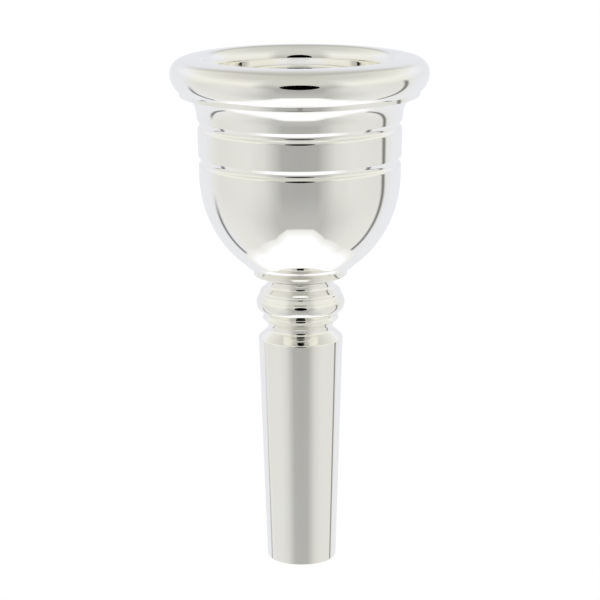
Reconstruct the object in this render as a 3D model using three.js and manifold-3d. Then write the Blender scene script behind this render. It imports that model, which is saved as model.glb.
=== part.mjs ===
// Screw-together tuba mouthpiece: rim, cup and shank, with an O-ring in each joint.
// Millimetres, +Z up the axis, origin at the centre of the shank's small end.
import * as THREE from 'three';
import { mergeVertices } from 'three/addons/utils/BufferGeometryUtils.js';
import Module from 'manifold-3d';

const manifold = await Module();
manifold.setup();

// Overall sizes
const LENGTH = 98.35;
const RIM_RADIUS = 24.1;
const SEGMENTS = 32;
const CHORD_ERROR = 0.07;

// Rim: a broad crest between a tight inner edge and a fuller outer edge
const CREST_RADIUS = 18.8;
const CREST_ROUNDING = 14;
const INNER_EDGE_WIDTH = 2.1;
const INNER_EDGE_HEIGHT = 2.7;
const INNER_EDGE_STEPS = 6;
const OUTER_EDGE_ROUNDING = 2.7;
const UNDER_EDGE_ROUNDING = 4.1;
const BITE_Z = LENGTH - INNER_EDGE_HEIGHT;
const RIM_SEAT_Z = 92.05;

// Cup: outside
const LAND_RADIUS = 22.43;
const LAND_BOTTOM_Z = 91.35;
const FLARE_ROUNDING = 4.5;
const FLARE_START_Z = 88;
const WALL_LEAN = THREE.MathUtils.degToRad(5);
const BOWL_RADIUS = 18.93;
const BOWL_DEPTH = 20.8;
const BOWL_CENTRE_Z = 76.5;
const BOWL_END_Z = 59.3;
const BOWL_STEPS = 8;
const BOWL_UNDERSIDE_BEND = [9.37, 58.39];
const UNDERSIDE_STEPS = 3;
const CUP_FOOT_RADIUS = 7.6;
const CUP_SEAT_Z = 57.95;
// Each groove's three corners from the bottom up: radius, height, rounding
const GROOVES = [
  [18.95, 78.3, 0.7],
  [18.45, 79.05, 0.5],
  [19.06, 80.05],
  [19.13, 85.1, 0.7],
  [18.55, 85.85, 0.5],
  [19.19, 86.85],
];

// Cup: inside
const SHOULDER_ROUNDING = 13;
const SHOULDER_LEAN = THREE.MathUtils.degToRad(18);
const FUNNEL_REACH = 14;
const FUNNEL_END_RADIUS = 4.6;
const FUNNEL_STEPS = 8;
const RIM_SOCKET_FLOOR_Z = 87.1;
const SHANK_SOCKET_TOP_Z = 65.95;
const RIM_RELIEF = 0.5;
const SHANK_RELIEF = 1.5;
const NOSE_GAP = 0.1;
const NOSE_CHAMFER = 0.3;

// Shank: collar disc, beaded neck and taper
const DISC_RADIUS = 8.87;
const DISC_BOTTOM_Z = 57.02;
const DISC_TOP_Z = 57.28;
// The neck's corners from the taper up to the disc: radius, height, rounding
const NECK = [
  [6.18, 46.35, 1],
  [6.18, 47.46, 1.1],
  [7.31, 48.42],
  [6.75, 49.2],
  [8.42, 50.51, 2],
  [8.42, 52.04, 2],
  [7.5, 53.93],
  [6.3, 54.93, 1],
  [6.3, 56.11, 1],
];
const SHANK_TOP_RADIUS = 8.06;
const SHANK_END_RADIUS = 6.68;
const SHANK_TOP_Z = 44.6;
const SHANK_EDGE_ROUNDING = 0.5;
const END_EDGE_ROUNDING = 0.25;
const THROAT_RADIUS = 4.1;
const THROAT_TOP_Z = 62;
const THROAT_BOTTOM_Z = 58;
const BACKBORE_BEND = [4.6, 34];
const BACKBORE_END_RADIUS = 5.6;
const BACKBORE_STEPS = 6;

// Threads: right-handed, 20 turns to the inch
const PITCH = 1.27;
const THREAD_DEPTH = 0.55;
const THREAD_CLEARANCE = 0.15;
const ROOT_HALF_WIDTH = 0.44;
const CREST_HALF_WIDTH = 0.12;
const FLANK_CLEARANCE = 0.06;
const THREAD_SINK = 0.2;
const THREAD_RUNOUT = Math.round(SEGMENTS / 6);
const MOUTH_CLEARANCE = 0.2;
const RIM_THREAD = { radius: 18, lowZ: 87.95, turns: 2.5, turnsBelow: 0.25, turnsAbove: 1.5 };
const SHANK_THREAD = { radius: 5.9, lowZ: 59.25, turns: 4, turnsBelow: 1.5, turnsAbove: 0.25 };

// O-rings, drawn as pressed between their two faces
const RIM_SEAL = { innerRadius: 18.9, outerRadius: 19.7, topZ: RIM_SEAT_Z, depth: 0.75 };
const SHANK_SEAL = { innerRadius: 6.45, outerRadius: 7.05, topZ: CUP_SEAT_Z, depth: 0.55 };
const SEAL_SIDE_GAP = 0.15;
const SEAL_FACE_GAP = 0.05;
const SEAL_BEVEL = 0.12;

const silverPlate = new THREE.MeshStandardMaterial({ color: 0xeceae4, roughness: 0.06, metalness: 1 });
const rubber = new THREE.MeshStandardMaterial({ color: 0x1a1a1a, roughness: 0.7, metalness: 0 });

// Points of an arc about (r, z), both ends included; angles in radians from the +r direction.
function arc(r, z, radius, from, to) {
  const largestStep = 2 * Math.acos(1 - CHORD_ERROR / radius);
  const steps = Math.ceil(Math.abs(to - from) / largestStep);
  const points = [];
  for (let i = 0; i <= steps; i += 1) {
    const angle = THREE.MathUtils.lerp(from, to, i / steps);
    points.push([r + radius * Math.cos(angle), z + radius * Math.sin(angle)]);
  }
  return points;
}

// Turns corners [r, z, rounding] into points, with an arc at each corner that has a rounding.
function rounded(corners) {
  const points = [];
  corners.forEach(([r, z, rounding = 0], index) => {
    const corner = new THREE.Vector2(r, z);
    const before = corners[index - 1];
    const after = corners[index + 1];
    if (!rounding || !before || !after) {
      points.push([r, z]);
      return;
    }
    const back = new THREE.Vector2(before[0], before[1]).sub(corner).normalize();
    const ahead = new THREE.Vector2(after[0], after[1]).sub(corner).normalize();
    const half = Math.acos(THREE.MathUtils.clamp(back.dot(ahead), -1, 1)) / 2;
    const centre = back.clone().add(ahead).normalize().multiplyScalar(rounding / Math.sin(half)).add(corner);
    const start = back.multiplyScalar(rounding / Math.tan(half)).add(corner).sub(centre);
    const end = ahead.multiplyScalar(rounding / Math.tan(half)).add(corner).sub(centre);
    const from = start.angle();
    const turn = Math.atan2(start.cross(end), start.dot(end));
    points.push(...arc(centre.x, centre.y, rounding, from, from + turn));
  });
  return points;
}

// Points on an upright ellipse, both ends included, evenly spaced in angle.
function ellipse([r, z], [width, height], from, to, steps) {
  const points = [];
  for (let i = 0; i <= steps; i += 1) {
    const angle = THREE.MathUtils.lerp(from, to, i / steps);
    points.push([r + width * Math.cos(angle), z + height * Math.sin(angle)]);
  }
  return points;
}

// Points on a quadratic curve from one point to another, bent towards a third.
function bend(start, towards, end, steps) {
  const ends = [start, towards, end].map(([r, z]) => new THREE.Vector2(r, z));
  return new THREE.QuadraticBezierCurve(...ends).getPoints(steps).map((point) => [point.x, point.y]);
}

// The inside of the bowl between two heights, from the top down: a short shoulder, then a funnel to the throat.
function bowlWall(highZ, lowZ) {
  const centre = CREST_RADIUS - INNER_EDGE_WIDTH - SHOULDER_ROUNDING;
  const shoulder = arc(centre, BITE_Z, SHOULDER_ROUNDING, 0, -SHOULDER_LEAN);
  const start = shoulder.at(-1);
  const towards = [
    start[0] - FUNNEL_REACH * Math.sin(SHOULDER_LEAN),
    start[1] - FUNNEL_REACH * Math.cos(SHOULDER_LEAN),
  ];
  const funnel = bend(start, towards, [FUNNEL_END_RADIUS, SHANK_SOCKET_TOP_Z], FUNNEL_STEPS);
  const wall = [...shoulder, ...funnel.slice(1)];
  const between = wall.filter(([, z]) => z < highZ && z > lowZ);
  return [[radiusAt(wall, highZ), highZ], ...between, [radiusAt(wall, lowZ), lowZ]];
}

// The radius of a falling outline at a height.
function radiusAt(outline, height) {
  const below = Math.max(1, outline.findIndex(([, z]) => z <= height));
  const [highRadius, highZ] = outline[below - 1];
  const [lowRadius, lowZ] = outline[below];
  return THREE.MathUtils.lerp(highRadius, lowRadius, (highZ - height) / (highZ - lowZ));
}

// A closed geometry as a solid, with its shared vertices merged.
function solid(geometry) {
  geometry.deleteAttribute('normal');
  geometry.deleteAttribute('uv');
  const merged = mergeVertices(geometry, 1e-5);
  return new manifold.Manifold(
    new manifold.Mesh({
      numProp: 3,
      vertProperties: new Float32Array(merged.attributes.position.array),
      triVerts: new Uint32Array(merged.index.array),
    }),
  );
}

// An outline of [r, z] points, turned about +Z. The outside is listed upwards.
function turned(outline) {
  const points = outline.map(([r, z]) => new THREE.Vector2(r, z));
  points.push(points[0].clone());
  const geometry = new THREE.LatheGeometry(points, SEGMENTS);
  geometry.rotateX(Math.PI / 2);
  return solid(geometry);
}

// A helical ridge of trapezoid section about +Z, as a solid. It passes lowZ at turn 0, and turns count from there.
// A runout, in steps, lets its crest rise and fall over its ends.
function helix({ rootRadius, crestRadius, rootHalf, crestHalf, lowZ, firstTurn, lastTurn, runout = 0 }) {
  const steps = Math.round((lastTurn - firstTurn) * SEGMENTS);
  const positions = [];
  const index = [];
  for (let i = 0; i <= steps; i += 1) {
    const turn = firstTurn + i / SEGMENTS;
    const angle = turn * 2 * Math.PI;
    const z = lowZ + PITCH * turn;
    const rise = runout ? Math.min(1, (Math.min(i, steps - i) + 1) / runout) : 1;
    const crest = THREE.MathUtils.lerp(rootRadius, crestRadius, rise);
    const section = [
      [rootRadius, z - rootHalf],
      [crest, z - crestHalf],
      [crest, z + crestHalf],
      [rootRadius, z + rootHalf],
    ];
    section.forEach(([r, height]) => positions.push(r * Math.cos(angle), r * Math.sin(angle), height));
    for (let k = 0; k < 4 && i < steps; k += 1) {
      const a = 4 * i + k;
      const b = 4 * i + ((k + 1) % 4);
      index.push(a, a + 4, b, b, a + 4, b + 4);
    }
  }
  const last = 4 * steps;
  index.push(0, 1, 2, 0, 2, 3, last, last + 2, last + 1, last, last + 3, last + 2);
  const geometry = new THREE.BufferGeometry();
  geometry.setAttribute('position', new THREE.Float32BufferAttribute(positions, 3));
  geometry.setIndex(index);
  return solid(geometry);
}

// Half the width of the thread's section where it starts, sunk below its root.
function sunkHalfWidth() {
  const slope = (ROOT_HALF_WIDTH - CREST_HALF_WIDTH) / THREAD_DEPTH;
  return ROOT_HALF_WIDTH + slope * THREAD_SINK;
}

// The ridge of an outside thread, sunk a little into the spigot so that the two join.
function outsideThread({ radius, lowZ, turns }) {
  return helix({
    rootRadius: radius - THREAD_DEPTH - THREAD_SINK,
    crestRadius: radius,
    rootHalf: sunkHalfWidth(),
    crestHalf: CREST_HALF_WIDTH,
    lowZ,
    firstTurn: 0,
    lastTurn: turns,
    runout: THREAD_RUNOUT,
  });
}

// The cut of the matching inside thread, which runs out at the mouth and into the relief at the far end.
function insideThread({ radius, lowZ, turns, turnsBelow, turnsAbove }) {
  return helix({
    rootRadius: radius - THREAD_DEPTH - THREAD_SINK,
    crestRadius: radius + THREAD_CLEARANCE,
    rootHalf: sunkHalfWidth() + FLANK_CLEARANCE,
    crestHalf: CREST_HALF_WIDTH + FLANK_CLEARANCE,
    lowZ,
    firstTurn: -turnsBelow,
    lastTurn: turns + turnsAbove,
  });
}

function sealGroove({ innerRadius, outerRadius, topZ, depth }) {
  return [
    [outerRadius + SEAL_SIDE_GAP, topZ],
    [outerRadius + SEAL_SIDE_GAP, topZ - depth],
    [innerRadius - SEAL_SIDE_GAP, topZ - depth],
    [innerRadius - SEAL_SIDE_GAP, topZ],
  ];
}

function rimSolid() {
  const rootRadius = RIM_THREAD.radius - THREAD_DEPTH;
  const crestCentreZ = LENGTH - CREST_ROUNDING;
  const outerCentre = RIM_RADIUS - OUTER_EDGE_ROUNDING;
  const lean = Math.asin((outerCentre - CREST_RADIUS) / (CREST_ROUNDING - OUTER_EDGE_ROUNDING));
  const widestZ = crestCentreZ + (CREST_ROUNDING - OUTER_EDGE_ROUNDING) * Math.cos(lean);
  const underAngle = -Math.asin((widestZ - RIM_SEAT_Z) / UNDER_EDGE_ROUNDING);
  const noseZ = RIM_SOCKET_FLOOR_Z + NOSE_GAP;
  const innerEdge = ellipse(
    [CREST_RADIUS, BITE_Z], [INNER_EDGE_WIDTH, INNER_EDGE_HEIGHT], Math.PI / 2, Math.PI, INNER_EDGE_STEPS,
  );
  const outline = [
    [rootRadius - NOSE_CHAMFER, noseZ],
    [rootRadius, noseZ + NOSE_CHAMFER],
    [rootRadius, RIM_SEAT_Z],
    ...arc(RIM_RADIUS - UNDER_EDGE_ROUNDING, widestZ, UNDER_EDGE_ROUNDING, underAngle, 0),
    ...arc(outerCentre, widestZ, OUTER_EDGE_ROUNDING, 0, Math.PI / 2 - lean).slice(1),
    ...arc(CREST_RADIUS, crestCentreZ, CREST_ROUNDING, Math.PI / 2 - lean, Math.PI / 2).slice(1),
    ...innerEdge.slice(1, -1),
    ...bowlWall(BITE_Z, noseZ),
  ];
  return turned(outline).add(outsideThread(RIM_THREAD));
}

function cupSolid() {
  const rimBore = RIM_THREAD.radius - THREAD_DEPTH + THREAD_CLEARANCE;
  const rimMouth = RIM_THREAD.radius + MOUTH_CLEARANCE;
  const shankBore = SHANK_THREAD.radius - THREAD_DEPTH + THREAD_CLEARANCE;
  const shankMouth = SHANK_THREAD.radius + MOUTH_CLEARANCE;
  const bowlEnd = Math.asin((BOWL_END_Z - BOWL_CENTRE_Z) / BOWL_DEPTH);
  const bowl = ellipse([0, BOWL_CENTRE_Z], [BOWL_RADIUS, BOWL_DEPTH], bowlEnd, 0, BOWL_STEPS);
  const underside = bend([CUP_FOOT_RADIUS, CUP_SEAT_Z], BOWL_UNDERSIDE_BEND, bowl[0], UNDERSIDE_STEPS);
  const wallTopRadius = GROOVES.at(-1)[0] + (FLARE_START_Z - GROOVES.at(-1)[1]) * Math.tan(WALL_LEAN);
  const flareCentreZ = FLARE_START_Z - FLARE_ROUNDING * Math.sin(WALL_LEAN);
  const flareEnd = Math.PI - Math.asin((LAND_BOTTOM_Z - flareCentreZ) / FLARE_ROUNDING);
  const flareCentre = wallTopRadius + FLARE_ROUNDING * Math.cos(WALL_LEAN);
  const outside = [
    ...underside.slice(0, -1),
    ...rounded([...bowl, ...GROOVES, [wallTopRadius, FLARE_START_Z]]),
    ...arc(flareCentre, flareCentreZ, FLARE_ROUNDING, Math.PI - WALL_LEAN, flareEnd).slice(1),
    [LAND_RADIUS, LAND_BOTTOM_Z],
    [LAND_RADIUS, RIM_SEAT_Z],
  ];
  const outline = [
    ...outside,
    ...sealGroove(RIM_SEAL),
    [rimMouth, RIM_SEAT_Z],
    [rimBore, RIM_SEAT_Z - (rimMouth - rimBore)],
    [rimBore, RIM_SOCKET_FLOOR_Z + RIM_RELIEF + (rimMouth - rimBore)],
    [rimMouth, RIM_SOCKET_FLOOR_Z + RIM_RELIEF],
    [rimMouth, RIM_SOCKET_FLOOR_Z],
    ...bowlWall(RIM_SOCKET_FLOOR_Z, SHANK_SOCKET_TOP_Z),
    [shankMouth, SHANK_SOCKET_TOP_Z],
    [shankMouth, SHANK_SOCKET_TOP_Z - SHANK_RELIEF],
    [shankBore, SHANK_SOCKET_TOP_Z - SHANK_RELIEF - (shankMouth - shankBore)],
    [shankBore, CUP_SEAT_Z + (shankMouth - shankBore)],
    [shankMouth, CUP_SEAT_Z],
  ];
  return turned(outline).subtract(insideThread(RIM_THREAD)).subtract(insideThread(SHANK_THREAD));
}

function shankSolid() {
  const rootRadius = SHANK_THREAD.radius - THREAD_DEPTH;
  const noseZ = SHANK_SOCKET_TOP_Z - NOSE_GAP;
  const outside = rounded([
    [BACKBORE_END_RADIUS, 0],
    [SHANK_END_RADIUS, 0, END_EDGE_ROUNDING],
    [SHANK_TOP_RADIUS, SHANK_TOP_Z, SHANK_EDGE_ROUNDING],
    ...NECK,
    [DISC_RADIUS, DISC_BOTTOM_Z],
    [DISC_RADIUS, DISC_TOP_Z],
    [CUP_FOOT_RADIUS, CUP_SEAT_Z],
  ]);
  const backbore = bend(
    [THROAT_RADIUS, THROAT_BOTTOM_Z], BACKBORE_BEND, [BACKBORE_END_RADIUS, 0], BACKBORE_STEPS,
  );
  const outline = [
    ...outside,
    ...sealGroove(SHANK_SEAL),
    [rootRadius, CUP_SEAT_Z],
    [rootRadius, noseZ - NOSE_CHAMFER],
    [rootRadius - NOSE_CHAMFER, noseZ],
    [FUNNEL_END_RADIUS, noseZ],
    [THROAT_RADIUS, THROAT_TOP_Z],
    ...backbore.slice(0, -1),
  ];
  return turned(outline).add(outsideThread(SHANK_THREAD));
}

function sealSolid({ innerRadius, outerRadius, topZ, depth }) {
  const low = topZ - depth + SEAL_FACE_GAP;
  const high = topZ - SEAL_FACE_GAP;
  return turned([
    [innerRadius, low + SEAL_BEVEL],
    [innerRadius + SEAL_BEVEL, low],
    [outerRadius - SEAL_BEVEL, low],
    [outerRadius, low + SEAL_BEVEL],
    [outerRadius, high - SEAL_BEVEL],
    [outerRadius - SEAL_BEVEL, high],
    [innerRadius + SEAL_BEVEL, high],
    [innerRadius, high - SEAL_BEVEL],
  ]);
}

function part(name, shape, material) {
  const { numProp, vertProperties, triVerts } = shape.getMesh();
  const geometry = new THREE.BufferGeometry();
  geometry.setAttribute('position', new THREE.BufferAttribute(vertProperties, numProp));
  geometry.setIndex(new THREE.BufferAttribute(triVerts, 1));
  geometry.computeVertexNormals();
  const mesh = new THREE.Mesh(geometry, material);
  mesh.name = name;
  return mesh;
}

const mouthpiece = new THREE.Group();
mouthpiece.add(
  part('rim', rimSolid(), silverPlate),
  part('cup', cupSolid(), silverPlate),
  part('shank', shankSolid(), silverPlate),
  part('rim_seal', sealSolid(RIM_SEAL), rubber),
  part('shank_seal', sealSolid(SHANK_SEAL), rubber),
);

export default mouthpiece;
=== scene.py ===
"""Looks for the silver-plated tuba mouthpiece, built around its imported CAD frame."""

import math

import bmesh
import bpy
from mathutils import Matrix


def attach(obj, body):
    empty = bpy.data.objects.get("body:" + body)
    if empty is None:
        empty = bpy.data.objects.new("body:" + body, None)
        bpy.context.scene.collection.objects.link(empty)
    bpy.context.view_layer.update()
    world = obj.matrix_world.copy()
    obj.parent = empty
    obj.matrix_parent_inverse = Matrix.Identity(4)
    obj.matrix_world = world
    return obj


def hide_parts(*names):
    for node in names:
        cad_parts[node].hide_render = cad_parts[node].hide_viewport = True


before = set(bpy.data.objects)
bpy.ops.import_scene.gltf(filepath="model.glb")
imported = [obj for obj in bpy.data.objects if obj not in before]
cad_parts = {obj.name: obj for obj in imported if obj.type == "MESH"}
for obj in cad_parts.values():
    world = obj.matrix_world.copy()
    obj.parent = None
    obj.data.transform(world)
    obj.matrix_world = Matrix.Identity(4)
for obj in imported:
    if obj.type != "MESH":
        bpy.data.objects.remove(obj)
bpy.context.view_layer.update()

MM = 0.001
TURN = 2 * math.pi

# ------------------------------------------------ sizes in millimetres, with heights from the shank's end
LENGTH = 98.35
RIM_RADIUS = 24.1
SIDES = 192
ARC_STEP = math.radians(5)
BOWL_STEP = math.radians(1.2)
INNER_EDGE_STEP = math.radians(3)
SHARP_ANGLE = math.radians(20)
EDGE_SUPPORT = 0.05
LONG_RUN = 0.9
SAME_POINT = 1e-6
MERGE_METRES = 1e-8

CREST_RADIUS = 18.8
CREST_ROUNDING = 14.0
INNER_EDGE_WIDTH = 2.1
INNER_EDGE_HEIGHT = 2.7
OUTER_EDGE_ROUNDING = 2.7
UNDER_EDGE_ROUNDING = 4.1
RIM_SEAT_Z = 92.05

LAND_RADIUS = 22.43
LAND_BOTTOM_Z = 91.35
FLARE_ROUNDING = 4.5
FLARE_START_Z = 88.0
WALL_LEAN = math.radians(5)
BOWL_RADIUS = 18.93
BOWL_DEPTH = 20.8
BOWL_CENTRE_Z = 76.5
BOWL_END_Z = 59.3
BOWL_UNDERSIDE_BEND = (10.04, 58.3)
UNDERSIDE_STEPS = 10
CUP_FOOT_RADIUS = 8.1
CUP_SEAT_Z = 57.95
# Each groove as its three corners from the bottom up: radius, height, rounding
GROOVES = (
    ((18.95, 78.3, 1.0), (18.4, 79.05, 0.7), (19.06, 80.05, 0.1)),
    ((19.13, 85.1, 1.0), (18.5, 85.85, 0.7), (19.19, 86.85, 0.1)),
)

BITE_Z = 95.65
CUP_SHOULDER_ROUNDING = 13.0
CUP_SHOULDER_LEAN = math.radians(18)
FUNNEL_REACH = 14.0
FUNNEL_END_RADIUS = 4.6
FUNNEL_STEPS = 48
RIM_SOCKET_FLOOR_Z = 87.1
SHANK_SOCKET_TOP_Z = 65.95
RIM_RELIEF = 0.5
SHANK_RELIEF = 1.5
NOSE_GAP = 0.1
NOSE_CHAMFER = 0.3

DISC_RADIUS = 8.87
DISC_BOTTOM_Z = 57.02
DISC_TOP_Z = 57.28
DISC_EDGE_ROUNDING = 0.08
# The neck's corners from the shank up to the disc: radius, height, rounding
NECK = (
    (6.18, 46.35, 1.0),
    (6.18, 47.46, 1.1),
    (7.31, 48.45, 0.12),
    (6.75, 49.22, 0.1),
    (8.42, 50.51, 2.0),
    (8.42, 52.04, 2.0),
    (8.13, 52.53, 0.05),
    (8.1, 52.65, 0.05),
    (7.74, 53.36, 0.05),
    (7.72, 53.56, 0.05),
    (7.52, 53.88, 0.05),
    (7.5, 53.97, 0.05),
    (6.3, 54.84, 1.0),
    (6.3, 56.2, 1.0),
)
SHANK_TOP_RADIUS = 8.06
SHANK_END_RADIUS = 6.68
SHANK_TOP_Z = 44.6
SHANK_EDGE_ROUNDING = 0.5
END_EDGE_ROUNDING = 0.25
THROAT_RADIUS = 4.1
THROAT_TOP_Z = 62.0
THROAT_BOTTOM_Z = 58.0
BACKBORE_BEND = (4.6, 34.0)
BACKBORE_STEPS = 16
BACKBORE_END_RADIUS = 5.6

# Right-handed threads: each THREAD_Z is a height of its ridge's middle, and crests end at START and END
PITCH = 1.27
THREAD_DEPTH = 0.55
THREAD_CLEARANCE = 0.15
ROOT_HALF_WIDTH = 0.44
CREST_HALF_WIDTH = 0.12
FLANK_CLEARANCE = 0.06
MOUTH_CLEARANCE = 0.2
RIM_THREAD_RADIUS = 18.0
RIM_THREAD_Z = 87.95
RIM_THREAD_END_Z = 91.6
SHANK_THREAD_RADIUS = 5.9
SHANK_THREAD_Z = 59.25
SHANK_THREAD_START_Z = 58.4
SHANK_THREAD_END_Z = 64.9

RIM_SEAL = {"inner": 18.9, "outer": 19.7, "top": RIM_SEAT_Z, "depth": 0.75}
SHANK_SEAL = {"inner": 6.45, "outer": 7.05, "top": CUP_SEAT_Z, "depth": 0.55}
SEAL_SIDE_GAP = 0.15
SEAL_FACE_GAP = 0.05


# ------------------------------------------------ outlines, as lists of (radius, height)
def ellipse(r, z, width, height, start, end, step=ARC_STEP):
    """Points on an upright ellipse about (r, z), both ends included."""
    steps = max(2, math.ceil(abs(end - start) / step))
    points = []
    for i in range(steps + 1):
        angle = start + (end - start) * i / steps
        points.append((r + width * math.cos(angle), z + height * math.sin(angle)))
    return points


def arc(r, z, radius, start, end, step=ARC_STEP):
    """Points on a circle about (r, z), both ends included."""
    return ellipse(r, z, radius, radius, start, end, step)


def rounded(corners):
    """Turns corners (r, z[, rounding]) into points, with an arc at each inner corner that has a rounding."""
    points = []
    for index, corner in enumerate(corners):
        r, z = corner[:2]
        rounding = corner[2] if len(corner) > 2 else 0
        if not rounding or index in (0, len(corners) - 1):
            points.append((r, z))
            continue
        back = unit(corners[index - 1][0] - r, corners[index - 1][1] - z)
        ahead = unit(corners[index + 1][0] - r, corners[index + 1][1] - z)
        half = math.acos(max(-1, min(1, back[0] * ahead[0] + back[1] * ahead[1]))) / 2
        middle = unit(back[0] + ahead[0], back[1] + ahead[1])
        reach = rounding / math.sin(half)
        centre = (r + middle[0] * reach, z + middle[1] * reach)
        run = rounding / math.tan(half)
        first = (r + back[0] * run - centre[0], z + back[1] * run - centre[1])
        last = (r + ahead[0] * run - centre[0], z + ahead[1] * run - centre[1])
        start = math.atan2(first[1], first[0])
        turn = math.atan2(first[0] * last[1] - first[1] * last[0], first[0] * last[0] + first[1] * last[1])
        points += arc(*centre, rounding, start, start + turn)
    return points


def quadratic(start, middle, end, steps):
    """Points on a curve that leaves start towards middle and reaches end from there."""
    points = []
    for i in range(steps + 1):
        t = i / steps
        first, second, third = (1 - t) ** 2, 2 * t * (1 - t), t * t
        r, z = (first * a + second * b + third * c for a, b, c in zip(start, middle, end))
        points.append((r, z))
    return points


def bowl_bore(high, low):
    """The inner wall from one height down to another: a short shoulder, then a funnel to the throat."""
    centre = CREST_RADIUS - INNER_EDGE_WIDTH - CUP_SHOULDER_ROUNDING
    wall = arc(centre, BITE_Z, CUP_SHOULDER_ROUNDING, 0, -CUP_SHOULDER_LEAN, BOWL_STEP)
    r, z = wall[-1]
    reach = (FUNNEL_REACH * math.sin(CUP_SHOULDER_LEAN), FUNNEL_REACH * math.cos(CUP_SHOULDER_LEAN))
    bend = (r - reach[0], z - reach[1])
    wall += quadratic((r, z), bend, (FUNNEL_END_RADIUS, SHANK_SOCKET_TOP_Z), FUNNEL_STEPS)[1:]
    inside = [(wall_radius(wall, high), high)]
    inside += [point for point in wall if low < point[1] < high]
    return inside + [(wall_radius(wall, low), low)]


def wall_radius(wall, height):
    """The radius at a height of a wall whose points run from the top down."""
    for (r0, z0), (r1, z1) in zip(wall, wall[1:]):
        if z1 <= height <= z0:
            return r0 + (r1 - r0) * (z0 - height) / (z0 - z1)
    return wall[0][0]


def unit(x, y):
    """The same direction with a length of 1."""
    length = math.hypot(x, y)
    return x / length, y / length


def supported(outline):
    """Adds a point close to both ends of every long straight run, so that shading stays flat along it."""
    points = []
    for (r0, z0), (r1, z1) in zip(outline, outline[1:] + outline[:1]):
        points.append((r0, z0))
        length = math.hypot(r1 - r0, z1 - z0)
        if length > LONG_RUN:
            for share in (EDGE_SUPPORT / length, 1 - EDGE_SUPPORT / length):
                points.append((r0 + (r1 - r0) * share, z0 + (z1 - z0) * share))
    return points


def seal_groove(seal):
    """The corners of the groove that a seal lies in, from the outside in."""
    outer = seal["outer"] + SEAL_SIDE_GAP
    inner = seal["inner"] - SEAL_SIDE_GAP
    floor = seal["top"] - seal["depth"]
    return [(outer, seal["top"]), (outer, floor), (inner, floor), (inner, seal["top"])]


# ------------------------------------------------ meshes
def thread_radius(phase, root, crest, widening):
    """The radius of a thread's section at a height from the middle of its ridge, within half a pitch."""
    offset = abs((phase + PITCH / 2) % PITCH - PITCH / 2)
    share = (ROOT_HALF_WIDTH + widening - offset) / (ROOT_HALF_WIDTH - CREST_HALF_WIDTH)
    return root + (crest - root) * max(0.0, min(1.0, share))


def thread_wall(mesh, root, crest, low, high, phase_z, limit, widening):
    """A threaded cylinder wall whose rows follow the helix.

    limit(z) says how far the crest may stand from the root. widening makes the ridge wider on both flanks.
    """
    base, top = ROOT_HALF_WIDTH + widening, CREST_HALF_WIDTH + widening
    steps = (-base, -top, 0.0, top, base, PITCH / 2)
    turns = math.ceil((high - low) / PITCH) + 2
    first_ridge = low + ((phase_z - low) % PITCH)
    rows = []
    for turn in range(-1, turns):
        for step in steps:
            rows.append(first_ridge + turn * PITCH + step)
    grid = []
    for i in range(SIDES + 1):
        angle = TURN * i / SIDES
        column = []
        for row in rows:
            z = row - PITCH + PITCH * i / SIDES
            held = min(high, max(low, z))
            stand = (thread_radius(row - phase_z, root, crest, widening) - root) if z == held else 0.0
            stand = math.copysign(min(abs(stand), limit(held)), crest - root)
            column.append(mesh.verts.new(lathe_point(root + stand, held, angle)))
        grid.append(column)
    for left, right in zip(grid, grid[1:]):
        for a, b, c, d in zip(left, right, right[1:], left[1:]):
            mesh.faces.new((a, b, c, d))


def lathe_point(r, z, angle):
    """A point of the turned shape, in metres."""
    return r * math.cos(angle) * MM, r * math.sin(angle) * MM, z * MM


def revolve(mesh, outline, skipped):
    """Turns a closed outline about the axis. The runs that start at the skipped points are left open."""
    rings = []
    for r, z in outline:
        rings.append([mesh.verts.new(lathe_point(r, z, TURN * i / SIDES)) for i in range(SIDES)])
    for index, ring in enumerate(rings):
        following = rings[(index + 1) % len(rings)]
        if index in skipped:
            continue
        for i in range(SIDES):
            j = (i + 1) % SIDES
            mesh.faces.new((ring[i], ring[j], following[j], following[i]))


def turned_piece(name, outline, material, body, node, threads=()):
    """A solid of revolution that stands for a CAD node.

    threads lists (first point, last height, crest radius, height of the ridge's middle, limit, widening) for
    each threaded wall, whose root radius is the first point's.
    """
    outline = supported(outline)
    mesh = bmesh.new()
    skipped = set()
    for (r, z_first), z_last, *_ in threads:
        index = nearest(outline, r, z_first)
        while math.dist(outline[(index + 1) % len(outline)], (r, z_last)) > SAME_POINT:
            outline.pop((index + 1) % len(outline))
        skipped.add(index)
    revolve(mesh, outline, skipped)
    for (r, z_first), z_last, crest, phase_z, limit, widening in threads:
        thread_wall(mesh, r, crest, min(z_first, z_last), max(z_first, z_last), phase_z, limit, widening)
    bmesh.ops.remove_doubles(mesh, verts=mesh.verts, dist=MERGE_METRES)
    bmesh.ops.dissolve_degenerate(mesh, edges=mesh.edges, dist=MERGE_METRES)
    bmesh.ops.recalc_face_normals(mesh, faces=mesh.faces)
    data = bpy.data.meshes.new(name)
    mesh.to_mesh(data)
    mesh.free()
    data.shade_smooth()
    data.set_sharp_from_angle(angle=SHARP_ANGLE)
    data.materials.append(material)
    piece = bpy.data.objects.new(name, data)
    bpy.context.collection.objects.link(piece)
    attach(piece, body)
    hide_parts(node)
    return piece


def nearest(outline, r, z):
    """The index of the outline's point nearest to (r, z)."""
    return min(range(len(outline)), key=lambda k: math.dist(outline[k], (r, z)))


def inside_thread(root, crest, phase_z, z_first, z_last):
    """The cut thread of a socket, a clearance wider than the ridge that runs in it."""
    start = (root + THREAD_CLEARANCE, z_first)
    return start, z_last, crest + THREAD_CLEARANCE, phase_z, (lambda z: THREAD_DEPTH), FLANK_CLEARANCE


def ramp_limit(low, high):
    """How far a crest may stand from its root near the thread's ends, as 45 degree chamfers."""
    return lambda z: max(0.0, min(z - low, high - z))


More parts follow.
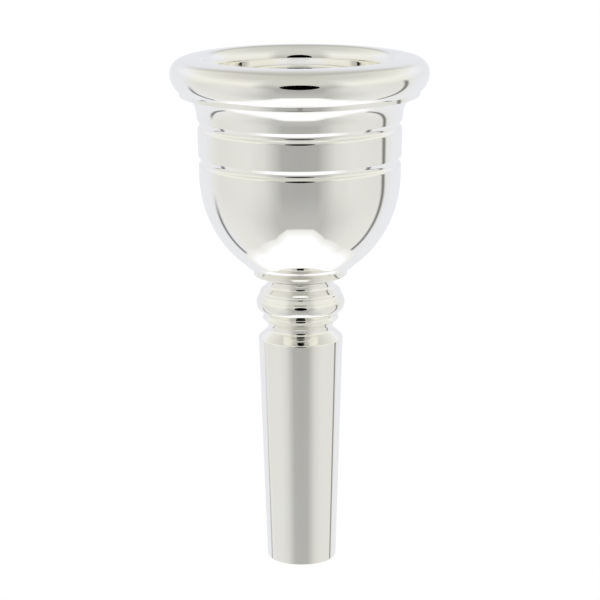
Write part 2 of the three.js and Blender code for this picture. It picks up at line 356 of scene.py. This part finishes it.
# ------------------------------------------------ the pieces
def rim_outline():
    """The rim, from its nose up the outside and down the inside."""
    root = RIM_THREAD_RADIUS - THREAD_DEPTH
    crest_centre = LENGTH - CREST_ROUNDING
    outer_centre = RIM_RADIUS - OUTER_EDGE_ROUNDING
    between = CREST_ROUNDING - OUTER_EDGE_ROUNDING
    lean = math.asin((outer_centre - CREST_RADIUS) / between)
    widest = crest_centre + between * math.cos(lean)
    under = -math.asin((widest - RIM_SEAT_Z) / UNDER_EDGE_ROUNDING)
    nose_z = RIM_SOCKET_FLOOR_Z + NOSE_GAP
    return [
        (root - NOSE_CHAMFER, nose_z),
        (root, nose_z + NOSE_CHAMFER),
        (root, RIM_SEAT_Z),
        *arc(RIM_RADIUS - UNDER_EDGE_ROUNDING, widest, UNDER_EDGE_ROUNDING, under, 0),
        *arc(outer_centre, widest, OUTER_EDGE_ROUNDING, 0, math.pi / 2 - lean)[1:],
        *arc(CREST_RADIUS, crest_centre, CREST_ROUNDING, math.pi / 2 - lean, math.pi / 2, BOWL_STEP)[1:],
        *ellipse(
            CREST_RADIUS, LENGTH - INNER_EDGE_HEIGHT, INNER_EDGE_WIDTH, INNER_EDGE_HEIGHT,
            math.pi / 2, math.pi, INNER_EDGE_STEP,
        )[1:-1],
        *bowl_bore(BITE_Z, nose_z),
    ]


def cup_outline():
    """The cup, from its foot up the outside and down the inside."""
    rim_bore = RIM_THREAD_RADIUS - THREAD_DEPTH + THREAD_CLEARANCE
    rim_mouth = RIM_THREAD_RADIUS + MOUTH_CLEARANCE
    shank_bore = SHANK_THREAD_RADIUS - THREAD_DEPTH + THREAD_CLEARANCE
    shank_mouth = SHANK_THREAD_RADIUS + MOUTH_CLEARANCE
    lowest = math.asin((BOWL_END_Z - BOWL_CENTRE_Z) / BOWL_DEPTH)
    groove_top = GROOVES[-1][-1]
    wall_top = groove_top[0] + (FLARE_START_Z - groove_top[1]) * math.tan(WALL_LEAN)
    flare_z = FLARE_START_Z - FLARE_ROUNDING * math.sin(WALL_LEAN)
    flare_end = math.pi - math.asin((LAND_BOTTOM_Z - flare_z) / FLARE_ROUNDING)
    flare_centre = wall_top + FLARE_ROUNDING * math.cos(WALL_LEAN)
    bowl = ellipse(0, BOWL_CENTRE_Z, BOWL_RADIUS, BOWL_DEPTH, lowest, 0, BOWL_STEP)
    underside = quadratic((CUP_FOOT_RADIUS, CUP_SEAT_Z), BOWL_UNDERSIDE_BEND, bowl[0], UNDERSIDE_STEPS)
    outside = rounded(
        [
            *underside[:-1],
            *bowl,
            *GROOVES[0],
            *GROOVES[1],
            (wall_top, FLARE_START_Z),
        ]
    )
    outside += arc(flare_centre, flare_z, FLARE_ROUNDING, math.pi - WALL_LEAN, flare_end, BOWL_STEP)[1:]
    outside += [(LAND_RADIUS, LAND_BOTTOM_Z), (LAND_RADIUS, RIM_SEAT_Z)]
    return [
        *outside,
        *seal_groove(RIM_SEAL),
        (rim_mouth, RIM_SEAT_Z),
        (rim_bore, RIM_SEAT_Z - rim_mouth + rim_bore),
        (rim_bore, RIM_SOCKET_FLOOR_Z + RIM_RELIEF + rim_mouth - rim_bore),
        (rim_mouth, RIM_SOCKET_FLOOR_Z + RIM_RELIEF),
        (rim_mouth, RIM_SOCKET_FLOOR_Z),
        *bowl_bore(RIM_SOCKET_FLOOR_Z, SHANK_SOCKET_TOP_Z),
        (shank_mouth, SHANK_SOCKET_TOP_Z),
        (shank_mouth, SHANK_SOCKET_TOP_Z - SHANK_RELIEF),
        (shank_bore, SHANK_SOCKET_TOP_Z - SHANK_RELIEF - shank_mouth + shank_bore),
        (shank_bore, CUP_SEAT_Z + shank_mouth - shank_bore),
        (shank_mouth, CUP_SEAT_Z),
    ]


def shank_outline():
    """The shank, from its small end up the outside and down the inside."""
    root = SHANK_THREAD_RADIUS - THREAD_DEPTH
    nose_z = SHANK_SOCKET_TOP_Z - NOSE_GAP
    outside = rounded(
        [
            (BACKBORE_END_RADIUS, 0),
            (SHANK_END_RADIUS, 0, END_EDGE_ROUNDING),
            (SHANK_TOP_RADIUS, SHANK_TOP_Z, SHANK_EDGE_ROUNDING),
            *NECK,
            (DISC_RADIUS, DISC_BOTTOM_Z, DISC_EDGE_ROUNDING),
            (DISC_RADIUS, DISC_TOP_Z, DISC_EDGE_ROUNDING),
            (CUP_FOOT_RADIUS, CUP_SEAT_Z),
        ]
    )
    throat_end = (THROAT_RADIUS, THROAT_BOTTOM_Z)
    backbore = quadratic(throat_end, BACKBORE_BEND, (BACKBORE_END_RADIUS, 0.0), BACKBORE_STEPS)
    return [
        *outside,
        *seal_groove(SHANK_SEAL),
        (root, CUP_SEAT_Z),
        (root, nose_z - NOSE_CHAMFER),
        (root - NOSE_CHAMFER, nose_z),
        (FUNNEL_END_RADIUS, nose_z),
        (THROAT_RADIUS, THROAT_TOP_Z),
        *backbore[:-1],
    ]


def seal_outline(seal):
    """An O-ring as it is squeezed when its joint is closed."""
    low = seal["top"] - seal["depth"] + SEAL_FACE_GAP
    high = seal["top"] - SEAL_FACE_GAP
    middle = (seal["inner"] + seal["outer"]) / 2
    width = (seal["outer"] - seal["inner"]) / 2
    return ellipse(middle, (low + high) / 2, width, (high - low) / 2, 0, TURN)[:-1]


# ------------------------------------------------ materials
SILVER_CLEAN = (0.975, 0.97, 0.94, 1)
SILVER_AGED = (0.965, 0.953, 0.9, 1)
RUBBER_DARK = (0.012, 0.012, 0.013, 1)
RUBBER_WORN = (0.035, 0.034, 0.034, 1)
NOISE_LOW = 0.3
NOISE_HIGH = 0.7
SHARE_AROUND = 0.01


def linear(value):
    """An sRGB level from 0 to 255 as linear light."""
    share = value / 255
    return share / 12.92 if share <= 0.04045 else ((share + 0.055) / 1.055) ** 2.4


def new_material(name):
    """A node material, with its nodes, links and shader."""
    material = bpy.data.materials.new(name)
    material.use_nodes = True
    nodes, links = material.node_tree.nodes, material.node_tree.links
    return material, nodes, links, nodes["Principled BSDF"]


def math_node(nodes, links, operation, *values):
    """A calculation on values that are sockets or numbers."""
    node = nodes.new("ShaderNodeMath")
    node.operation = operation
    for socket, value in zip(node.inputs, values):
        if isinstance(value, (int, float)):
            socket.default_value = value
        else:
            links.new(value, socket)
    return node.outputs[0]


def blend_node(nodes, links, factor, first, second, blend_type="MIX"):
    """Mixes two colours, each a socket, an sRGB grey or a colour."""
    node = nodes.new("ShaderNodeMix")
    node.data_type = "RGBA"
    node.blend_type = blend_type
    for socket, value in ((node.inputs["Factor"], factor), (node.inputs[6], first), (node.inputs[7], second)):
        if isinstance(value, bpy.types.NodeSocket):
            links.new(value, socket)
        elif isinstance(value, tuple):
            socket.default_value = value
        else:
            socket.default_value = value if socket.name == "Factor" else [linear(value)] * 3 + [1]
    return node.outputs[2]


def noise(nodes, links, place, scale, detail):
    """A noise with scale features to the metre."""
    node = nodes.new("ShaderNodeTexNoise")
    node.inputs["Scale"].default_value = scale
    node.inputs["Detail"].default_value = detail
    links.new(place, node.inputs["Vector"])
    return node.outputs["Fac"]


def bump(nodes, links, height, strength, distance, normal=None):
    """A bump whose distance is in millimetres, on top of another one if that is given."""
    node = nodes.new("ShaderNodeBump")
    node.inputs["Strength"].default_value = strength
    node.inputs["Distance"].default_value = distance * MM
    links.new(height, node.inputs["Height"])
    if normal:
        links.new(normal, node.inputs["Normal"])
    return node.outputs[0]


def between(nodes, links, factor, low, high):
    """A value that goes from low to high as a noise goes over its usual range."""
    node = nodes.new("ShaderNodeMapRange")
    node.inputs["From Min"].default_value = NOISE_LOW
    node.inputs["From Max"].default_value = NOISE_HIGH
    node.inputs["To Min"].default_value = low
    node.inputs["To Max"].default_value = high
    links.new(factor, node.inputs["Value"])
    return node.outputs[0]


def along_profile(nodes, links, place):
    """Coordinates that change along a turned piece's profile and hardly at all around it."""
    split = nodes.new("ShaderNodeSeparateXYZ")
    links.new(place, split.inputs[0])
    x, y, z = split.outputs
    squares = [math_node(nodes, links, "POWER", value, 2) for value in (x, y)]
    radius = math_node(nodes, links, "SQRT", math_node(nodes, links, "ADD", *squares))
    join = nodes.new("ShaderNodeCombineXYZ")
    links.new(radius, join.inputs[0])
    links.new(math_node(nodes, links, "MULTIPLY", x, SHARE_AROUND), join.inputs[1])
    links.new(z, join.inputs[2])
    return join.outputs[0]


def silver_plate():
    """Buffed silver: a mirror with faint turning lines, a slight waviness and a breath of tarnish."""
    material, nodes, links, shader = new_material("silver_plate")
    place = nodes.new("ShaderNodeTexCoord").outputs["Object"]
    tarnish = noise(nodes, links, place, scale=110, detail=4)
    waviness = noise(nodes, links, place, scale=190, detail=1)
    lines = noise(nodes, links, along_profile(nodes, links, place), scale=2600, detail=3)
    smears = noise(nodes, links, place, scale=700, detail=5)
    colour = blend_node(nodes, links, between(nodes, links, tarnish, 0, 1), SILVER_CLEAN, SILVER_AGED)
    links.new(colour, shader.inputs["Base Color"])
    shader.inputs["Metallic"].default_value = 1.0
    links.new(between(nodes, links, smears, low=0.03, high=0.06), shader.inputs["Roughness"])
    waves = bump(nodes, links, waviness, strength=0.5, distance=0.012)
    finish = bump(nodes, links, lines, strength=0.12, distance=0.006, normal=waves)
    links.new(finish, shader.inputs["Normal"])
    return material


def nitrile_rubber():
    """Moulded black rubber with a fine grain and dusty wear."""
    material, nodes, links, shader = new_material("nitrile_rubber")
    place = nodes.new("ShaderNodeTexCoord").outputs["Object"]
    wear = noise(nodes, links, place, scale=600, detail=4)
    grain = noise(nodes, links, place, scale=5200, detail=3)
    colour = blend_node(nodes, links, between(nodes, links, wear, 0, 1), RUBBER_DARK, RUBBER_WORN)
    links.new(colour, shader.inputs["Base Color"])
    links.new(between(nodes, links, wear, low=0.42, high=0.62), shader.inputs["Roughness"])
    links.new(bump(nodes, links, grain, strength=0.35, distance=0.02), shader.inputs["Normal"])
    return material


# ------------------------------------------------ studio
# The white tent around the object is the same on both sides. Each stop is degrees around from the camera's
# side, sRGB grey: a grey curtain hangs on the camera's side, and spreads towards its foot.
WALLS = ((0, 172), (20, 175), (25, 190), (40, 220), (60, 229), (100, 225), (130, 236))
WALLS_LOW = ((0, 190), (30, 190), (50, 212), (75, 227), (130, 236))
# Upwards in front, at the sides and behind: degrees of elevation, sRGB grey
FRONT_ABOVE = ((0, 175), (30, 210), (60, 210), (90, 203))
SIDE_ABOVE = ((0, 231), (25, 243), (60, 212), (90, 203))
BACK_ABOVE = ((0, 234), (20, 231), (35, 195), (60, 188), (90, 203))
# Where the white sweep below begins: degrees around from the camera's side, degrees down
SWEEP_EDGE = ((0, 48), (20, 48), (45, 57), (95, 58), (140, 44))
WALL_TINT = (1.0, 1.0, 0.985, 1)
ABOVE_TINT = (1.0, 0.997, 0.945, 1)
OUTER_TINT = (0.99, 1.0, 1.055, 1)
SWEEP_START_LEVEL = 240
SWEEP_LEVEL = 262
# A seam of the tent: degrees around at SEAM_DEGREES_DOWN, and how far around it moves per degree up
RIGHT_SEAM = (109, -0.27)
LEFT_SEAM = (-115, 0.5)
SEAM_DEGREES_DOWN = 12
SEAM_HALF_WIDTH = 6.0
SEAM_LEVEL = 120
# Where one part of the tent fades into the next, each as the degrees of its start and its end.
# The first five are elevations, the next three go around from the camera's side, and the last two go down.
LOW_WALL_FADE = (-10, -44)
ABOVE_FADE = (-6, 9)
COOL_FADE = (40, 20)
RIGHT_SEAM_FADE = (12, 4)
LEFT_SEAM_FADE = (-14, -30)
SIDE_FADE = (26, 48)
BACK_FADE = (140, 168)
OUTER_FADE = (108, 124)
SWEEP_START_FADE = (0, 2.5)
SWEEP_FADE = (2, 11)

CAMERA_DISTANCE = 342.6
CAMERA_HEIGHT = 139.65
CAMERA_PITCH = math.radians(14.4)
CAMERA_ROLL = math.radians(0.27)
CAMERA_SHIFT = 0.0027
SENSOR = 36.0
LENS = 110.88
OPENING_RADIUS = 104.0
OPENING_BEHIND = 5
OPENING_ABOVE = 1
FLOOR_RADIUS = 900.0
FLOOR_DROP = 0.02
DISC_SIDES = 96


def ramp_node(nodes, links, factor, stops):
    """A grey ramp whose stops are (position, linear level)."""
    node = nodes.new("ShaderNodeValToRGB")
    elements = node.color_ramp.elements
    while len(elements) > 1:
        elements.remove(elements[-1])
    for index, (position, level) in enumerate(stops):
        element = elements[0] if index == 0 else elements.new(position)
        element.position = position
        element.color = (level, level, level, 1)
    links.new(factor, node.inputs[0])
    return node.outputs[0]


def smooth_share(nodes, links, value, low, high):
    """A share that eases from 0 to 1 as the value goes from low to high."""
    node = nodes.new("ShaderNodeMapRange")
    node.interpolation_type = "SMOOTHSTEP"
    links.new(value, node.inputs["Value"])
    node.inputs["From Min"].default_value = low
    node.inputs["From Max"].default_value = high
    return node.outputs[0]


def tinted(nodes, links, colour, tint):
    return blend_node(nodes, links, 1.0, colour, tint, "MULTIPLY")


def aside_ramp(nodes, links, aside, stops, level=linear):
    """A ramp from the camera's side to the back, the same on both sides, whose stops are in degrees.

    level turns a stop's value into the ramp's.
    """
    share = math_node(nodes, links, "DIVIDE", aside, 180)
    return ramp_node(nodes, links, share, [(angle / 180, level(value)) for angle, value in stops])


def upward_ramp(nodes, links, degrees, stops):
    """A ramp from level to straight up, whose stops are in degrees of elevation."""
    share = math_node(nodes, links, "DIVIDE", degrees, 90)
    return ramp_node(nodes, links, share, [(angle / 90, linear(value)) for angle, value in stops])


def seam(nodes, links, around, up, line, fade):
    """How much a dark seam of the tent shows. fade gives the elevations over which it comes in."""
    place, drift = line
    centre = math_node(nodes, links, "MULTIPLY_ADD", up, drift, place + SEAM_DEGREES_DOWN * drift)
    offset = math_node(nodes, links, "ABSOLUTE", math_node(nodes, links, "SUBTRACT", around, centre))
    strip = smooth_share(nodes, links, offset, SEAM_HALF_WIDTH, 0)
    return math_node(nodes, links, "MULTIPLY", strip, smooth_share(nodes, links, up, *fade))


def wall_light(nodes, links, around, aside, up, outer):
    """The tent's walls, with their grey curtain and dark seams."""
    high = aside_ramp(nodes, links, aside, WALLS)
    low = aside_ramp(nodes, links, aside, WALLS_LOW)
    walls = blend_node(nodes, links, smooth_share(nodes, links, up, *LOW_WALL_FADE), high, low)
    right = seam(nodes, links, around, up, RIGHT_SEAM, RIGHT_SEAM_FADE)
    left = seam(nodes, links, around, up, LEFT_SEAM, LEFT_SEAM_FADE)
    seams = math_node(nodes, links, "MAXIMUM", right, left)
    walls = blend_node(nodes, links, seams, walls, SEAM_LEVEL)
    return tinted(nodes, links, walls, blend_node(nodes, links, outer, WALL_TINT, OUTER_TINT))


def upper_light(nodes, links, aside, up, outer):
    """The tent's upper part, which differs in front, at the sides and behind."""
    front = upward_ramp(nodes, links, up, FRONT_ABOVE)
    side = upward_ramp(nodes, links, up, SIDE_ABOVE)
    back = upward_ramp(nodes, links, up, BACK_ABOVE)
    above = blend_node(nodes, links, smooth_share(nodes, links, aside, *SIDE_FADE), front, side)
    above = blend_node(nodes, links, smooth_share(nodes, links, aside, *BACK_FADE), above, back)
    cool = math_node(nodes, links, "MULTIPLY", outer, smooth_share(nodes, links, up, *COOL_FADE))
    return tinted(nodes, links, above, blend_node(nodes, links, cool, ABOVE_TINT, OUTER_TINT))


def with_sweep(nodes, links, room, aside, up):
    """The room with the white sweep that the object stands on laid over its lower part."""
    edge = aside_ramp(nodes, links, aside, SWEEP_EDGE, lambda degrees: degrees / 90)
    down = math_node(nodes, links, "MULTIPLY", up, -1)
    depth = math_node(nodes, links, "MULTIPLY_ADD", edge, -90, down)
    start = smooth_share(nodes, links, depth, *SWEEP_START_FADE)
    room = blend_node(nodes, links, start, room, SWEEP_START_LEVEL)
    sweep = (*(linear(SWEEP_LEVEL) * share for share in OUTER_TINT[:3]), 1)
    return blend_node(nodes, links, smooth_share(nodes, links, depth, *SWEEP_FADE), room, sweep)


def tent_light(nodes, links):
    """The light that comes from each direction."""
    direction = nodes.new("ShaderNodeTexCoord").outputs["Generated"]
    split = nodes.new("ShaderNodeSeparateXYZ")
    links.new(direction, split.inputs[0])
    x, y, z = split.outputs
    turn = math_node(nodes, links, "ARCTAN2", x, math_node(nodes, links, "MULTIPLY", y, -1))
    around = math_node(nodes, links, "MULTIPLY", turn, 180 / math.pi)
    aside = math_node(nodes, links, "ABSOLUTE", around)
    up = math_node(nodes, links, "MULTIPLY", math_node(nodes, links, "ARCSINE", z), 180 / math.pi)
    outer = smooth_share(nodes, links, aside, *OUTER_FADE)
    walls = wall_light(nodes, links, around, aside, up, outer)
    above = upper_light(nodes, links, aside, up, outer)
    room = blend_node(nodes, links, smooth_share(nodes, links, up, *ABOVE_FADE), walls, above)
    return with_sweep(nodes, links, room, aside, up)


def make_world():
    """The tent for everything that it lights, and plain white where it is seen directly."""
    world = bpy.data.worlds.new("studio")
    bpy.context.scene.world = world
    world.use_nodes = True
    nodes, links = world.node_tree.nodes, world.node_tree.links
    nodes.clear()
    tent = nodes.new("ShaderNodeBackground")
    links.new(tent_light(nodes, links), tent.inputs["Color"])
    plain = nodes.new("ShaderNodeBackground")
    plain.inputs["Color"].default_value = (1, 1, 1, 1)
    chosen = nodes.new("ShaderNodeMixShader")
    links.new(nodes.new("ShaderNodeLightPath").outputs["Is Camera Ray"], chosen.inputs[0])
    links.new(tent.outputs[0], chosen.inputs[1])
    links.new(plain.outputs[0], chosen.inputs[2])
    links.new(chosen.outputs[0], nodes.new("ShaderNodeOutputWorld").inputs[0])


def emitter(name, level):
    """A material that only glows, or is black where level is 0."""
    material = bpy.data.materials.new(name)
    material.use_nodes = True
    nodes, links = material.node_tree.nodes, material.node_tree.links
    nodes.clear()
    glow = nodes.new("ShaderNodeEmission")
    glow.inputs["Color"].default_value = (level, level, level, 1)
    links.new(glow.outputs[0], nodes.new("ShaderNodeOutputMaterial").inputs[0])
    return material


def disc(name, radius, location, rotation, material):
    """A flat round part of the studio."""
    mesh = bmesh.new()
    bmesh.ops.create_circle(mesh, cap_ends=True, segments=DISC_SIDES, radius=radius)
    data = bpy.data.meshes.new(name)
    mesh.to_mesh(data)
    mesh.free()
    data.materials.append(material)
    piece = bpy.data.objects.new(name, data)
    piece.location = location
    piece.rotation_euler = rotation
    bpy.context.collection.objects.link(piece)
    return piece


def make_camera():
    """The camera, in front of the object and looking slightly down at it."""
    data = bpy.data.cameras.new("camera")
    data.sensor_width = SENSOR
    data.lens = LENS
    data.shift_x = CAMERA_SHIFT
    camera = bpy.data.objects.new("camera", data)
    camera.location = (0, -CAMERA_DISTANCE * MM, CAMERA_HEIGHT * MM)
    camera.rotation_euler = (math.pi / 2 - CAMERA_PITCH, CAMERA_ROLL, 0)
    bpy.context.collection.objects.link(camera)
    bpy.context.scene.camera = camera


def make_floor():
    """The white floor, which reflections leave out because the tent has its own sweep."""
    place = (0, 0, -FLOOR_DROP * MM)
    floor = disc("floor", FLOOR_RADIUS * MM, place, (0, 0, 0), emitter("white_floor", 1.0))
    floor.visible_glossy = False


def make_opening():
    """The dark opening in the tent that the camera looks through, which only reflections show."""
    place = (0, -(CAMERA_DISTANCE + OPENING_BEHIND) * MM, (CAMERA_HEIGHT + OPENING_ABOVE) * MM)
    facing = (math.pi / 2 - CAMERA_PITCH, 0, 0)
    opening = disc("tent_opening", OPENING_RADIUS * MM, place, facing, emitter("dark_opening", 0.0))
    opening.visible_camera = False
    opening.visible_diffuse = False


bpy.context.scene.view_settings.view_transform = "Standard"
make_world()
make_camera()
make_floor()
make_opening()
silver = silver_plate()
rubber = nitrile_rubber()

rim_root = RIM_THREAD_RADIUS - THREAD_DEPTH
shank_root = SHANK_THREAD_RADIUS - THREAD_DEPTH
rim_nose_z = RIM_SOCKET_FLOOR_Z + NOSE_GAP + NOSE_CHAMFER
shank_nose_z = SHANK_SOCKET_TOP_Z - NOSE_GAP - NOSE_CHAMFER
rim_limit = ramp_limit(rim_nose_z, RIM_THREAD_END_Z)
shank_limit = ramp_limit(SHANK_THREAD_START_Z, SHANK_THREAD_END_Z)
turned_piece(
    "rim_plated", rim_outline(), silver, "rim", "rim",
    [((rim_root, rim_nose_z), RIM_SEAT_Z, RIM_THREAD_RADIUS, RIM_THREAD_Z, rim_limit, 0.0)],
)
chamfer = MOUTH_CLEARANCE + THREAD_DEPTH - THREAD_CLEARANCE
rim_socket = (RIM_SEAT_Z - chamfer, RIM_SOCKET_FLOOR_Z + RIM_RELIEF + chamfer)
shank_socket = (SHANK_SOCKET_TOP_Z - SHANK_RELIEF - chamfer, CUP_SEAT_Z + chamfer)
turned_piece(
    "cup_plated", cup_outline(), silver, "cup", "cup",
    [
        inside_thread(rim_root, RIM_THREAD_RADIUS, RIM_THREAD_Z, *rim_socket),
        inside_thread(shank_root, SHANK_THREAD_RADIUS, SHANK_THREAD_Z, *shank_socket),
    ],
)
turned_piece(
    "shank_plated", shank_outline(), silver, "shank", "shank",
    [((shank_root, CUP_SEAT_Z), shank_nose_z, SHANK_THREAD_RADIUS, SHANK_THREAD_Z, shank_limit, 0.0)],
)
turned_piece("rim_o_ring", seal_outline(RIM_SEAL), rubber, "rim_seal", "rim_seal")
turned_piece("shank_o_ring", seal_outline(SHANK_SEAL), rubber, "shank_seal", "shank_seal")
